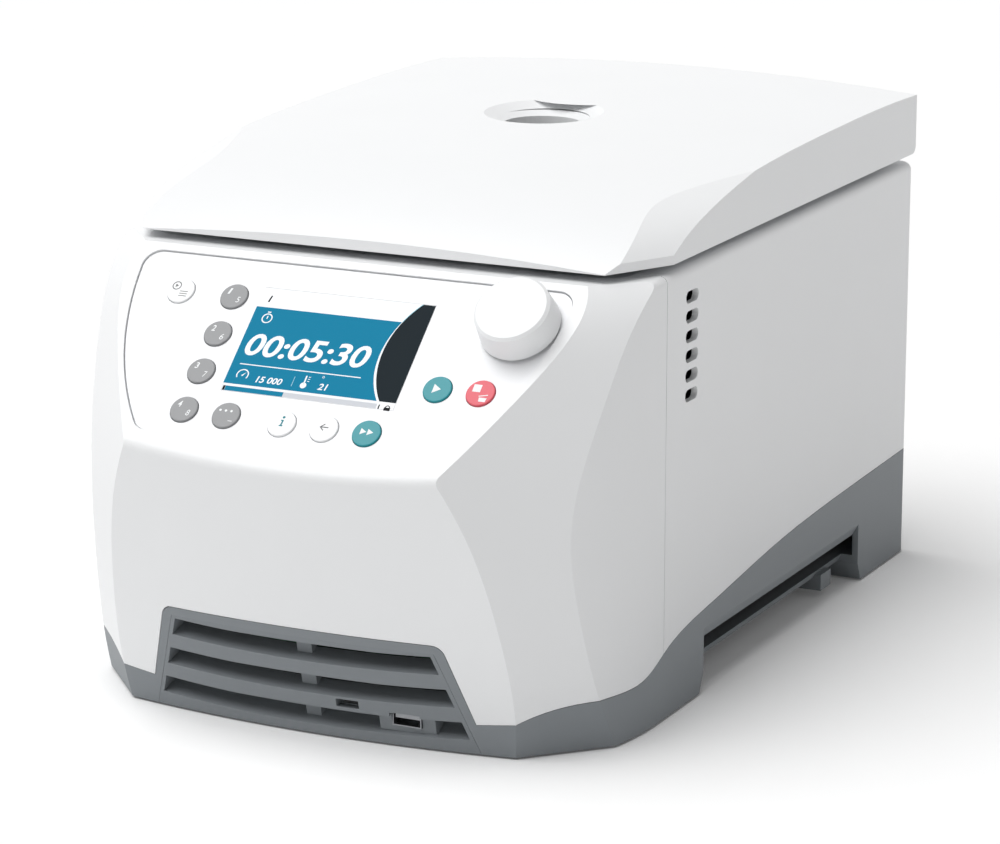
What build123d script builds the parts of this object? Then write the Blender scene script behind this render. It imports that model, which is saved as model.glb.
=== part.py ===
"""Bench microcentrifuge, modelled piece by piece in millimetres.

X runs to the right, Y to the back and Z up. The origin lies on the bench, under the middle
of the housing. The rotor turns about a vertical axis behind the middle.
"""
from build123d import *
from math import atan2, cos, degrees, radians, sin, tan
import os

# Housing
WIDTH = 262.0
DEPTH = 416.0
BODY_TOP = 200.0
WALL = 3.0
BACK_CORNER_RADIUS = 7.0
LEAST_RADIUS = 1.0
SHOULDER_RADIUS = 4.0
PIECE_GAP = 0.3
FRONT = -DEPTH / 2
BACK = DEPTH / 2

# Cheeks: the sides curve in towards the front
CHEEK_RADIUS = 150.0
CHEEK_START = -101.4
CHEEK_SWEEP = 56.0

# Front below the brow leans back and is slightly round in plan
FRONT_RADIUS = 570.0
FRONT_LEAN = 14.0
BROW_HEIGHT = 126.5
BROW_RADIUS = 5.0
BROW_REACH = 0.85

# Tilted control panel
PANEL_TILT = 42.5
PANEL_Y = -130.4
PANEL_Z = 197.1

# Slanted facets on both front corners: distance from the origin's vertical axis at each height
FACET_TURN = 43.5
FACET_PROFILE = [(185.3, 0), (190.0, 20), (195.4, 60), (197.2, 108), (188.4, 160), (178.6, 186), (163.5, 202)]

# Seam between the front and the rear casing, and the top edge of the base along the side
SEAM_Y = -94.8
SEAM_GAP = 0.5
BASE_EDGE = [(-176, 14.5), (-155, 23.2), (-114, 24.5), (-93, 31.5), (-42, 40), (30, 47.5), (120, 52), (215, 54.4)]

# Base tray
BASE_CLEAR = 1.0
FLOOR_HEIGHT = 11.0
FLOOR_THICK = 3.0
FOOT_FRONT_END = -60.0
FOOT_REAR_START = 151.0
FOOT_WIDTH = 26.0
ARCH_HEIGHT = 10.0
TUCK_HEIGHT = 30.0
TUCK_DEPTH = 13.0
WEDGE_FOOT_Y = 108.6
WEDGE_FOOT_LENGTH = 13.0
WEDGE_FOOT_BOTTOM = 4.0
PAD_RADIUS = 9.0
PAD_THICK = 3.0
PAD_FRONT_Y = -134.0
PAD_REAR_Y = 180.0
PAD_X = 106.0

# Air intake in the front of the base
BEZEL_TOP = 51.5
BEZEL_TOP_HALF = 68.0
BEZEL_FOOT_HALF = 80.5
BEZEL_CORNER = 6.0
GRILLE_TOP = 47.6
GRILLE_FLARE = 0.341
SLOT_HALF_AT_TOP = 63.2
GRILLE_RIM = 2.0
SLOT_TOP = 45.2
SLOT_HEIGHT = 9.4
SLOT_PITCH = 15.4
SLOT_COUNT = 3
LOUVRE_RISE = 24.0
GRILLE_DEPTH = 10.0
RIB_WIDTH = 7.3
RIB_SET_BACK = 5.5

# Sockets in the grille
USB_X = 47.0
USB_Z = 13.2
USB_WIDTH = 14.2
USB_HEIGHT = 6.6
USB_WALL = 0.5
USB_LENGTH = 14.0
USB_SET_BACK = 2.0
SOCKET_BLOCK_WIDTH = 26.0
SOCKET_BLOCK_HEIGHT = 12.0
SERVICE_X = 20.5
SERVICE_Z = 18.0
SERVICE_WIDTH = 10.8
SERVICE_HEIGHT = 3.8

# Side vents
VENT_COUNT = 6
VENT_LENGTH = 13.5
VENT_HEIGHT = 5.5
VENT_PITCH = 8.8
VENT_TOP_Z = 186.3
VENT_Y = -67.6

# Control panel: positions are (across, down the panel from the recess's top edge)
FASCIA_TOP_HALF = 105.2
FASCIA_MID = (101.0, 34.0)
FASCIA_FOOT = (72.0, 92.0)
FASCIA_BOTTOM = 97.0
FASCIA_CORNER = 8.0
FASCIA_THICK = 2.0
FASCIA_SINK = 0.9
FASCIA_GAP = 0.5
LEDGE_WIDTH = 4.0
LEDGE_THICK = 2.0
SCREEN_CENTRE = (1.2, 40.6)
SCREEN_WIDTH = 83.6
SCREEN_HEIGHT = 55.0
SCREEN_THICK = 1.6
MODULE_MARGIN = 4.0
MODULE_THICK = 6.0
BUTTON_RADIUS = 6.5
BUTTON_PROUD = 0.9
BUTTON_GAP = 0.25
BUTTON_FLANGE = 1.1
BUTTON_TRAVEL = 0.8
BUTTONS = {
    "menu": (-80.4, 20.0),
    "program_1": (-53.5, 20.0),
    "program_2": (-53.5, 40.0),
    "program_3": (-53.5, 60.0),
    "program_4": (-53.5, 80.3),
    "more": (-32.5, 80.8),
    "info": (-5.0, 81.4),
    "back": (15.4, 81.4),
    "fast": (35.6, 81.0),
    "start": (59.4, 55.2),
    "stop": (79.4, 54.6),
}
KNOB_CENTRE = (85.6, 19.6)
KNOB_RADIUS = 18.0
KNOB_TOP_RADIUS = 16.8
KNOB_HEIGHT = 13.0
KNOB_BEVEL = 1.2
KNOB_LIFT = 1.6
KNOB_TRAVEL = 1.0
KNOB_WALL = 2.0
KNOB_BORE = 3.0
SHAFT_CLEAR = 0.05
ENCODER_WIDTH = 14.0
ENCODER_THICK = 7.0
BOARD_DEPTH = 10.0
BOARD_THICK = 1.6
BOARD_TOP_HALF = 99.0
BOARD_FOOT_HALF = 64.0
BOARD_TOP = 9.0
BOARD_FOOT = 88.0
STANDOFF_RADIUS = 3.0

# Lid
LID_BOTTOM = 203.9
LID_WALL = 3.0
LID_FRONT = -121.4
LID_FRONT_HALF = 113.6
LID_FACET_BACK = -88.1
LID_LIP = 4.6
CROWN_RADIUS = 1480.0
LID_PROFILE = [(-121.4, 208.6), (-104, 217.5), (-78, 226.5), (-38, 232.4), (18, 236.6), (90, 238.9), (160, 239.6), (208, 238.6)]
LID_FACET_PROFILE = [(0, 208.0), (-8, 215.2), (-27, 224.8), (-56, 234.0), (-100, 246.0)]
LID_EDGE_RADIUS = 3.0
LID_HEEL_RADIUS = 4.0
LID_INNER_THICK = 2.5
PORT_RADIUS = 18.0
PORT_RIM_RADIUS = 30.0
PORT_SINK = 3.6
PORT_DEPTH = 15.0
WINDOW_THICK = 2.0
WINDOW_RING_HEIGHT = 4.0

# Hinge of the lid
HINGE_Y = 199.0
HINGE_Z = 210.0
HINGE_PIN_RADIUS = 3.0
HINGE_X = 80.0
EAR_THICK = 8.0
EAR_RADIUS = 6.0
ARM_THICK = 8.0
HINGE_RUN = 0.05
SPRING_RADIUS = 5.2
SPRING_WIRE = 0.8
SPRING_TURNS = 6

# Rotor chamber and drive
ROTOR_Y = 54.6
BOWL_RADIUS = 90.0
BOWL_WALL = 1.5
BOWL_BOTTOM = 112.0
BOWL_CORNER = 14.0
BOWL_FLANGE = 99.0
BOWL_EYE = 20.0
DECK_THICK = 3.0
DECK_HALF = 116.0
DECK_FRONT = -110.0
DECK_BACK = 184.0
DECK_CORNER = 12.0
SEAL_RADIUS = 99.0
SEAL_WIDTH = 5.0
GUARD_RADIUS = 102.0
GUARD_WALL = 5.0
PLATE_Z = 100.0
PLATE_THICK = 3.0
PLATE_HALF = 108.0
PLATE_EYE = 24.0
POST_RADIUS = 7.0
POST_SPACING = 92.0
MOTOR_RADIUS = 42.0
MOTOR_BOTTOM = 28.0
MOTOR_FLANGE = 58.0
MOTOR_FLANGE_THICK = 3.0
DAMPER_HEIGHT = 9.0
DAMPER_RADIUS = 8.0
DAMPER_CIRCLE = 48.0
NECK_RADIUS = 15.0
NECK_TOP = 122.0
DRIVE_RADIUS = 6.0
DRIVE_TOP = 172.0

# Rotor
ROTOR_RADIUS = 83.0
ROTOR_BOTTOM = 124.0
ROTOR_TOP = 160.0
ROTOR_HUB = 20.0
TUBE_COUNT = 24
TUBE_RADIUS = 5.6
TUBE_CIRCLE = 66.0
TUBE_ANGLE = 45.0
TUBE_DEPTH = 34.0
ROTOR_LID_RADIUS = 79.0
ROTOR_LID_THICK = 2.0
ROTOR_LID_RISE = 6.0
NUT_RADIUS = 17.0
NUT_HEIGHT = 16.0

# Lid lock
HOOK_X = 40.0
HOOK_Y = -97.0
HOOK_WIDTH = 12.0
HOOK_THICK = 3.0
HOOK_DROP = 26.0
HOOK_WINDOW = 9.0
HOOK_SLOT_CLEAR = 2.5
LOCK_HEIGHT = 34.0
LOCK_DEPTH = 12.0
LOCK_WALL = 2.0
BOLT_RADIUS = 3.0
BOLT_TRAVEL = 8.0

# Back panel
FAN_SIZE = 80.0
FAN_DEPTH = 25.0
FAN_X = -58.0
FAN_Z = 118.0
FAN_HUB = 18.0
FAN_BLADES = 7
FAN_TIP_GAP = 1.5
FAN_SHAFT = 2.5
INLET_X = 80.0
INLET_Z = 92.0
INLET_WIDTH = 28.0
INLET_HEIGHT = 20.5
INLET_DEPTH = 18.0
SWITCH_X = 44.0
SWITCH_WIDTH = 21.0
SWITCH_HEIGHT = 27.0
SWITCH_DEPTH = 18.0
SWITCH_TILT = 14.0
SWITCH_PIVOT_DEPTH = 5.5
SUPPLY_SIZE = (120.0, 62.0, 1.6)
SCREW_RADIUS = 3.2
SCREW_HEIGHT = 2.2

pieces = {}


def block(x0, x1, y0, y1, z0, z1):
    """A box given by its limits along X, Y and Z."""
    middle = Pos((x0 + x1) / 2, (y0 + y1) / 2, (z0 + z1) / 2)
    return middle * Box(x1 - x0, y1 - y0, z1 - z0)


def rod(radius, z0, z1, x=0.0, y=0.0):
    """A vertical cylinder from z0 to z1."""
    return Pos(x, y, (z0 + z1) / 2) * Cylinder(radius, z1 - z0)


def cross_rod(radius, x0, x1, y, z):
    """A cylinder along X."""
    return Pos((x0 + x1) / 2, y, z) * Rot(0, 90, 0) * Cylinder(radius, x1 - x0)


def deep_rod(radius, y0, y1, x, z):
    """A cylinder along Y."""
    return Pos(x, (y0 + y1) / 2, z) * Rot(90, 0, 0) * Cylinder(radius, y1 - y0)


def side_prism(points, half=WIDTH):
    """A polygon drawn in the side view, carried across the whole width."""
    return extrude(Plane.YZ * make_face(Polyline(*points, close=True)), half, both=True)


def front_prism(points, half=DEPTH):
    """A polygon drawn in the front view, carried through the whole depth."""
    return extrude(Plane.XZ * make_face(Polyline(*points, close=True)), half, both=True)


def ring(outer, inner, z0, z1, x=0.0, y=0.0):
    """A flat ring about a vertical axis."""
    return rod(outer, z0, z1, x, y) - rod(inner, z0 - 1, z1 + 1, x, y)


PANEL = Plane(
    origin=(0, PANEL_Y, PANEL_Z),
    x_dir=(1, 0, 0),
    z_dir=(0, -sin(radians(PANEL_TILT)), cos(radians(PANEL_TILT))),
)


def on_panel(place, height=0.0):
    """The location of a point of the control panel, lifted off its surface."""
    return PANEL.location * Pos(place[0], -place[1], height)


def plan_body(inset):
    """The housing seen from above: straight sides, round cheeks, rounded back corners."""
    half = WIDTH / 2 - inset
    radius = CHEEK_RADIUS - inset
    centre_x = WIDTH / 2 - CHEEK_RADIUS
    right = CenterArc((centre_x, CHEEK_START), radius, 0, -CHEEK_SWEEP)
    left = CenterArc((-centre_x, CHEEK_START), radius, 180, CHEEK_SWEEP)
    back = BACK - inset
    outline = [
        right,
        Line(right @ 1, left @ 1),
        left,
        Line(left @ 0, (-half, back)),
        Line((-half, back), (half, back)),
        Line((half, back), right @ 0),
    ]
    face = make_face(outline)
    corners = face.vertices().filter_by(lambda v: v.Y > back - 1)
    return fillet(corners, max(BACK_CORNER_RADIUS - inset, LEAST_RADIUS))


def cone_front(inset):
    """Everything behind the leaning lower front, which is round in plan."""
    axis_y = FRONT + FRONT_RADIUS
    shift = inset / cos(radians(FRONT_LEAN))
    brow_y = FRONT - BROW_REACH + shift
    foot_y = brow_y + (BROW_HEIGHT + 10) * tan(radians(FRONT_LEAN))
    top_y = brow_y - (BODY_TOP - BROW_HEIGHT) * tan(radians(FRONT_LEAN))
    profile = Polyline((axis_y, -10), (foot_y, -10), (top_y, BODY_TOP), (axis_y, BODY_TOP), close=True)
    face = (Plane.YZ * make_face(profile)).rotate(Axis((0, axis_y, 0), (0, 0, 1)), -22)
    front = revolve(face, Axis((0, axis_y, 0), (0, 0, 1)), 44)
    return front + block(-WIDTH, WIDTH, CHEEK_START, BACK + 10, -10, BODY_TOP)


def panel_side(inset):
    """Everything under the plane of the control panel."""
    down = PANEL.offset(-inset)
    return extrude(down * Rectangle(3 * WIDTH, 3 * DEPTH), -2 * DEPTH)


def facet_side(inset, hand):
    """Everything behind the slanted facet of one front corner."""
    turn = radians(FACET_TURN)
    across = Vector(hand * cos(turn), -sin(turn), 0)
    plane = Plane(origin=(0, 0, 0), x_dir=across, z_dir=across.cross(Vector(0, 0, 1)))
    curve = Spline(*[(d - inset, z) for d, z in FACET_PROFILE])
    low, high = curve @ 0, curve @ 1
    frame = Polyline(low, (low.X, -10), (-2 * DEPTH, -10), (-2 * DEPTH, high.Y), high)
    return extrude(plane * make_face([curve, frame]), 2 * DEPTH, both=True)


def envelope(inset=0.0):
    """The housing's outer form, moved inwards by inset."""
    body = extrude(plan_body(inset), BODY_TOP - inset)
    body = body & cone_front(inset)
    body = body & panel_side(inset)
    for hand in (1, -1):
        body = body & facet_side(inset, hand)
    return body


def base_zone(gap=0.0):
    """Where the base tray shows: below its side edge and inside the grille's bezel."""
    curve = Spline(*[(y, z + gap) for y, z in BASE_EDGE])
    first, last = curve @ 0, curve @ 1
    frame = Polyline(last, (last.X, -10), (2 * FRONT, -10), (2 * FRONT, first.Y), first)
    low = extrude(Plane.YZ * make_face([curve, frame]), WIDTH, both=True)
    bezel = make_face(
        Polyline(
            (-BEZEL_TOP_HALF - gap, BEZEL_TOP + gap),
            (BEZEL_TOP_HALF + gap, BEZEL_TOP + gap),
            (BEZEL_FOOT_HALF + gap, 12),
            (BEZEL_FOOT_HALF + gap, -10),
            (-BEZEL_FOOT_HALF - gap, -10),
            (-BEZEL_FOOT_HALF - gap, 12),
            close=True,
        )
    )
    corners = bezel.vertices().filter_by(lambda v: v.Y > BEZEL_TOP - 1)
    bezel = fillet(corners, BEZEL_CORNER)
    return low + Pos(0, -100, 0) * extrude(Plane.XZ * bezel, DEPTH)



def softened(body):
    """The housing's outer form with its edges rounded."""
    top = body.edges().filter_by(lambda e: e.bounding_box().min.Z > BODY_TOP - 0.01)
    shoulder = top.filter_by(lambda e: e.bounding_box().max.Y > CHEEK_START)
    body = fillet(shoulder, SHOULDER_RADIUS)
    brow = body.edges().filter_by(lambda e: e.bounding_box().max.Y < FRONT + 10 and e.length > BEZEL_TOP_HALF)
    return fillet(brow, BROW_RADIUS)


def fascia_face(grow=0.0):
    """The recess of the control panel: round corners, tapering sides, a bowed lower edge."""
    top = FASCIA_TOP_HALF + grow
    mid = (FASCIA_MID[0] + grow, -FASCIA_MID[1])
    foot = (FASCIA_FOOT[0] + grow, -FASCIA_FOOT[1] - grow)
    right = ThreePointArc((top, grow), mid, foot)
    lower = ThreePointArc(foot, (0, -FASCIA_BOTTOM - grow), (-foot[0], foot[1]))
    left = ThreePointArc((-foot[0], foot[1]), (-mid[0], mid[1]), (-top, grow))
    face = make_face([right, lower, left, Line((-top, grow), (top, grow))])
    return fillet(face.vertices(), FASCIA_CORNER + grow)


def panel_slab(face, depth, thick):
    """A plate parallel to the control panel, its top face depth below the surface."""
    placed = PANEL.offset(-depth) * face
    return extrude(placed, -thick)


def deck_face(grow=0.0):
    """The opening in the top of the housing that the deck fills."""
    wide = 2 * (DECK_HALF + grow)
    deep = DECK_BACK - DECK_FRONT + 2 * grow
    middle = (DECK_BACK + DECK_FRONT) / 2
    return Pos(0, middle) * RectangleRounded(wide, deep, DECK_CORNER + grow)


def vent_slots():
    """The column of air slots on both sides, as cutters."""
    slot = SlotOverall(VENT_LENGTH, VENT_HEIGHT)
    cutters = Part()
    for row in range(VENT_COUNT):
        place = Plane.YZ * Pos(VENT_Y, VENT_TOP_Z - row * VENT_PITCH)
        cutters += extrude(place * slot, WIDTH, both=True)
    return cutters


def make_casings():
    """The front and rear mouldings of the housing, split at the side seam."""
    shell = softened(envelope()) - envelope(WALL)
    shell -= base_zone(PIECE_GAP)
    shell -= extrude(Pos(0, 0, BODY_TOP - 2 * WALL) * deck_face(PIECE_GAP), 4 * WALL)
    front = shell & block(-WIDTH, WIDTH, 2 * FRONT, SEAM_Y, -10, BODY_TOP + 10)
    rear = shell & block(-WIDTH, WIDTH, SEAM_Y + SEAM_GAP, 2 * BACK, -10, BODY_TOP + 10)
    opening = fascia_face(FASCIA_GAP)
    seat = FASCIA_SINK + FASCIA_THICK
    front -= panel_slab(opening, -WALL, WALL + seat)
    front -= panel_slab(fascia_face(-LEDGE_WIDTH), 0, 3 * WALL)
    ledge = panel_slab(fascia_face(LEDGE_WIDTH), seat, LEDGE_THICK) & envelope(WALL / 2)
    ledge -= panel_slab(fascia_face(-LEDGE_WIDTH), 0, 3 * WALL)
    front += ledge
    rear -= vent_slots()
    rear -= block(FAN_X - FAN_SIZE / 2, FAN_X + FAN_SIZE / 2, BACK - 2 * WALL, BACK + 5,
                  FAN_Z - FAN_SIZE / 2, FAN_Z + FAN_SIZE / 2)
    rear -= block(INLET_X - INLET_WIDTH / 2, INLET_X + INLET_WIDTH / 2, BACK - 2 * WALL, BACK + 5,
                  INLET_Z - INLET_HEIGHT / 2, INLET_Z + INLET_HEIGHT / 2)
    rear -= block(SWITCH_X - SWITCH_WIDTH / 2, SWITCH_X + SWITCH_WIDTH / 2, BACK - 2 * WALL, BACK + 5,
                  INLET_Z - SWITCH_HEIGHT / 2, INLET_Z + SWITCH_HEIGHT / 2)
    pieces["front_casing"] = front
    pieces["rear_casing"] = rear


def front_y(height, inset=0.0):
    """Where the leaning lower front lies at the middle, at a given height."""
    lean = tan(radians(FRONT_LEAN))
    return FRONT - BROW_REACH + inset / cos(radians(FRONT_LEAN)) + (BROW_HEIGHT - height) * lean


def usb_front():
    """Where the mouth of the USB socket lies."""
    return front_y(USB_Z) + USB_X ** 2 / (2 * FRONT_RADIUS) + USB_SET_BACK


def grille_outline(z, grow=0.0):
    """Half the width of the slots at a height."""
    return SLOT_HALF_AT_TOP + (SLOT_TOP - z) * GRILLE_FLARE + grow


def grille_prism(low, high, grow):
    """A trapezoid seen from the front, as wide as the slots plus grow."""
    points = [
        (-grille_outline(high, grow), high),
        (grille_outline(high, grow), high),
        (grille_outline(low, grow), low),
        (-grille_outline(low, grow), low),
    ]
    return Pos(0, -100, 0) * extrude(Plane.XZ * make_face(Polyline(*points, close=True)), DEPTH)


def make_base():
    """The dark lower tray: skirt, floor, foot blocks, arches and tucked-under sides."""
    zone = base_zone()
    solid = envelope() & zone
    hollow = envelope(WALL) & block(-WIDTH, WIDTH, 2 * FRONT, 2 * BACK, FLOOR_HEIGHT + FLOOR_THICK, BODY_TOP)
    tray = solid - hollow
    tray -= block(-WIDTH, WIDTH, 2 * FRONT, 2 * BACK, -10, BASE_CLEAR)
    inside = WIDTH / 2 - FOOT_WIDTH
    under = front_y(0) + 2 * GRILLE_DEPTH
    tray -= block(-inside, inside, under, FOOT_REAR_START + 20, -10, FLOOR_HEIGHT)
    arch = [
        (FOOT_FRONT_END, -10),
        (FOOT_FRONT_END + ARCH_HEIGHT, ARCH_HEIGHT),
        (FOOT_REAR_START - ARCH_HEIGHT, ARCH_HEIGHT),
        (FOOT_REAR_START, -10),
    ]
    tray -= side_prism(arch)
    for hand in (1, -1):
        edge = hand * WIDTH / 2
        tuck = make_face(Polyline(
            (edge + hand, TUCK_HEIGHT + 2), (edge + hand * 5, -10),
            (edge - hand * TUCK_DEPTH, -10), (edge - hand * TUCK_DEPTH, ARCH_HEIGHT - 4), close=True))
        length = FOOT_REAR_START - FOOT_FRONT_END - 2 * ARCH_HEIGHT
        tray -= Pos(0, FOOT_REAR_START - ARCH_HEIGHT, 0) * extrude(Plane.XZ * tuck, length)
    tray -= grille_prism(-10, GRILLE_TOP, GRILLE_RIM + PIECE_GAP / 2) - envelope(GRILLE_DEPTH + PIECE_GAP)
    pocket_end = usb_front() + USB_LENGTH + PIECE_GAP
    tray -= block(USB_X - USB_WIDTH / 2, USB_X + USB_WIDTH / 2, 2 * FRONT, pocket_end,
                  USB_Z - USB_HEIGHT / 2, FLOOR_HEIGHT + 2 * FLOOR_THICK)
    for hand in (1, -1):
        for y in (PAD_FRONT_Y, PAD_REAR_Y):
            tray -= rod(PAD_RADIUS + PIECE_GAP, -1, PAD_THICK, hand * PAD_X, y)
    wedge = block(inside, WIDTH / 2 - TUCK_DEPTH / 2, WEDGE_FOOT_Y, WEDGE_FOOT_Y + WEDGE_FOOT_LENGTH,
                  WEDGE_FOOT_BOTTOM, FLOOR_HEIGHT + 1)
    tray += wedge + mirror(wedge, Plane.YZ)
    pieces["base_tray"] = tray
    pads = [rod(PAD_RADIUS, 0, PAD_THICK, x, y) for x in (PAD_X, -PAD_X) for y in (PAD_FRONT_Y, PAD_REAR_Y)]
    pieces["feet"] = Compound(children=pads)


def make_grille():
    """The louvred intake: slats that rise inwards, a set-back rib and the socket block."""
    body = (envelope() - envelope(GRILLE_DEPTH)) & grille_prism(BASE_CLEAR, GRILLE_TOP, GRILLE_RIM)
    rise = tan(radians(LOUVRE_RISE))
    reach = 3 * GRILLE_DEPTH
    slats = Part()
    for row in range(SLOT_COUNT):
        high = SLOT_TOP - row * SLOT_PITCH
        low = high - SLOT_HEIGHT
        near = front_y((high + low) / 2)
        void = side_prism([
            (near - reach, low), (near, low), (near + reach, low + reach * rise),
            (near + reach, high + reach * rise), (near, high), (near - reach, high),
        ])
        slats += void & grille_prism(low, high + GRILLE_DEPTH * rise, 0)
    body -= slats
    rib = block(-RIB_WIDTH / 2, RIB_WIDTH / 2, 2 * FRONT, 0, BASE_CLEAR + 1, GRILLE_TOP)
    body += rib & (envelope(RIB_SET_BACK) - envelope(GRILLE_DEPTH))
    face = USB_SET_BACK
    housing = block(USB_X - SOCKET_BLOCK_WIDTH / 2, USB_X + SOCKET_BLOCK_WIDTH / 2, 2 * FRONT, 0,
                    USB_Z - SOCKET_BLOCK_HEIGHT / 2, USB_Z + SOCKET_BLOCK_HEIGHT / 2)
    body += housing & (envelope(face) - envelope(GRILLE_DEPTH))
    body -= block(USB_X - USB_WIDTH / 2, USB_X + USB_WIDTH / 2, 2 * FRONT, 0,
                  USB_Z - USB_HEIGHT / 2, USB_Z + USB_HEIGHT / 2)
    body -= block(SERVICE_X - SERVICE_WIDTH / 2, SERVICE_X + SERVICE_WIDTH / 2, 2 * FRONT, 0,
                  SERVICE_Z - SERVICE_HEIGHT / 2, SERVICE_Z + SERVICE_HEIGHT / 2)
    pieces["intake_grille"] = body
    near = usb_front()
    wide = USB_WIDTH / 2 - PIECE_GAP / 2
    tall = USB_HEIGHT / 2 - PIECE_GAP / 2
    shell = block(USB_X - wide, USB_X + wide, near, near + USB_LENGTH, USB_Z - tall, USB_Z + tall)
    shell -= block(USB_X - wide + USB_WALL, USB_X + wide - USB_WALL, near - 1, near + USB_LENGTH - 1,
                   USB_Z - tall + USB_WALL, USB_Z + tall - USB_WALL)
    tongue = block(USB_X - wide + 2 * USB_WALL, USB_X + wide - 2 * USB_WALL, near + 1, near + USB_LENGTH - 1,
                   USB_Z + 0.2, USB_Z + 2.0)
    pieces["usb_socket"] = shell + tongue
    plug = block(SERVICE_X - SERVICE_WIDTH / 2 + PIECE_GAP, SERVICE_X + SERVICE_WIDTH / 2 - PIECE_GAP,
                 near + 2, near + 8, SERVICE_Z - SERVICE_HEIGHT / 2 + PIECE_GAP,
                 SERVICE_Z + SERVICE_HEIGHT / 2 - PIECE_GAP)
    pieces["service_socket"] = plug


def make_panel():
    """The fascia with its display, buttons, knob and the board behind them."""
    top = FASCIA_SINK
    plate = panel_slab(fascia_face(), top, FASCIA_THICK)
    screen = Rectangle(SCREEN_WIDTH, SCREEN_HEIGHT)
    opening = on_panel(SCREEN_CENTRE) * extrude(Rectangle(SCREEN_WIDTH + PIECE_GAP, SCREEN_HEIGHT + PIECE_GAP),
                                                10, both=True)
    plate -= opening
    for place in BUTTONS.values():
        plate -= on_panel(place) * Cylinder(BUTTON_RADIUS + BUTTON_GAP, 20)
    plate -= on_panel(KNOB_CENTRE) * Cylinder(KNOB_BORE + 1, 20)
    glass = on_panel(SCREEN_CENTRE, -top - SCREEN_THICK) * extrude(screen, SCREEN_THICK)
    wide = SCREEN_WIDTH + 2 * MODULE_MARGIN
    tall = SCREEN_HEIGHT + 2 * MODULE_MARGIN
    back = top + FASCIA_THICK
    module = on_panel(SCREEN_CENTRE, -back - MODULE_THICK) * extrude(Rectangle(wide, tall), MODULE_THICK)
    glass_seat = on_panel(SCREEN_CENTRE, -back) * extrude(screen, FASCIA_THICK - SCREEN_THICK)
    pieces["fascia"] = plate
    pieces["display_glass"] = glass
    pieces["display_module"] = module + glass_seat
    board_face = make_face(Polyline(
        (-BOARD_TOP_HALF, -BOARD_TOP), (BOARD_TOP_HALF, -BOARD_TOP),
        (BOARD_FOOT_HALF, -BOARD_FOOT), (-BOARD_FOOT_HALF, -BOARD_FOOT), close=True))
    board = panel_slab(board_face, BOARD_DEPTH, BOARD_THICK)
    for x, t in ((-88, 14), (74, 38), (-62, 68), (62, 78)):
        board += on_panel((x, t), -BOARD_DEPTH) * extrude(Circle(STANDOFF_RADIUS), BOARD_DEPTH - back)
    pieces["control_board"] = board
    for name, place in BUTTONS.items():
        cap = extrude(Circle(BUTTON_RADIUS), FASCIA_THICK + BUTTON_PROUD)
        cap = fillet(cap.edges().group_by(Axis.Z)[-1], 0.5)
        stem_length = BOARD_DEPTH - back - BUTTON_TRAVEL - PIECE_GAP
        stem = extrude(Circle(BUTTON_RADIUS / 2), -stem_length)
        pieces["button_" + name] = on_panel(place, -back) * (cap + stem)
    lift = on_panel(KNOB_CENTRE, -top + KNOB_LIFT)
    cup = Cone(KNOB_RADIUS, KNOB_TOP_RADIUS, KNOB_HEIGHT, align=(Align.CENTER, Align.CENTER, Align.MIN))
    cup = chamfer(cup.edges().group_by(Axis.Z)[-1], KNOB_BEVEL)
    cup -= extrude(Circle(KNOB_RADIUS - KNOB_WALL), KNOB_HEIGHT - KNOB_WALL - KNOB_BEVEL)
    boss = extrude(Circle(KNOB_BORE + KNOB_WALL), KNOB_HEIGHT - KNOB_BEVEL)
    cup += boss
    cup -= extrude(Circle(KNOB_BORE + SHAFT_CLEAR), KNOB_HEIGHT - KNOB_WALL - KNOB_BEVEL)
    pieces["control_knob"] = lift * cup
    shaft_top = KNOB_LIFT - top + KNOB_HEIGHT - KNOB_WALL - KNOB_BEVEL - PIECE_GAP
    shaft_foot = back + BOARD_DEPTH - ENCODER_THICK
    encoder_top = -(BOARD_DEPTH - ENCODER_THICK)
    encoder = extrude(Rectangle(ENCODER_WIDTH, ENCODER_WIDTH), ENCODER_THICK)
    encoder -= extrude(Circle(KNOB_BORE + SHAFT_CLEAR), ENCODER_THICK)
    pieces["knob_encoder"] = on_panel(KNOB_CENTRE, -BOARD_DEPTH) * encoder
    shaft_length = shaft_top + BOARD_DEPTH - KNOB_TRAVEL - PIECE_GAP
    pieces["knob_shaft"] = on_panel(KNOB_CENTRE, shaft_top - shaft_length) * extrude(Circle(KNOB_BORE), shaft_length)


def lid_body(inset=0.0):
    """The lid's outer form, moved inwards by inset: a crowned dome with two slanted front corners."""
    half = WIDTH / 2 - inset
    crown_z = LID_PROFILE[-2][1] - CROWN_RADIUS
    front = LID_FRONT + inset
    curve = Spline(*[(y, z - inset) for y, z in LID_PROFILE])
    first, last = curve @ 0, curve @ 1
    back = BACK - inset
    frame = Polyline(last, (last.X, 150), (first.X, 150), first)
    face = Plane.YZ * make_face([curve, frame])
    axis = Axis((0, 0, crown_z), (0, 1, 0))
    dome = revolve(face.rotate(axis, -7), axis, 14)
    body = dome & block(-half, half, front, back, LID_BOTTOM, LID_BOTTOM + 100)
    run = Vector(WIDTH / 2 - LID_FRONT_HALF, LID_FACET_BACK - LID_FRONT, 0).normalized()
    for hand in (1, -1):
        across = Vector(hand * run.Y, -run.X, 0)
        plane = Plane(origin=(hand * LID_FRONT_HALF, LID_FRONT, 0), x_dir=across,
                      z_dir=across.cross(Vector(0, 0, 1)))
        roll = Spline(*[(d - inset, z) for d, z in LID_FACET_PROFILE])
        low, high = roll @ 0, roll @ 1
        rest = Polyline(low, (low.X, 100), (-3 * DEPTH, 100), (-3 * DEPTH, high.Y), high)
        body = body & extrude(plane * make_face([roll, rest]), 2 * DEPTH, both=True)
    return body


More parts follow.
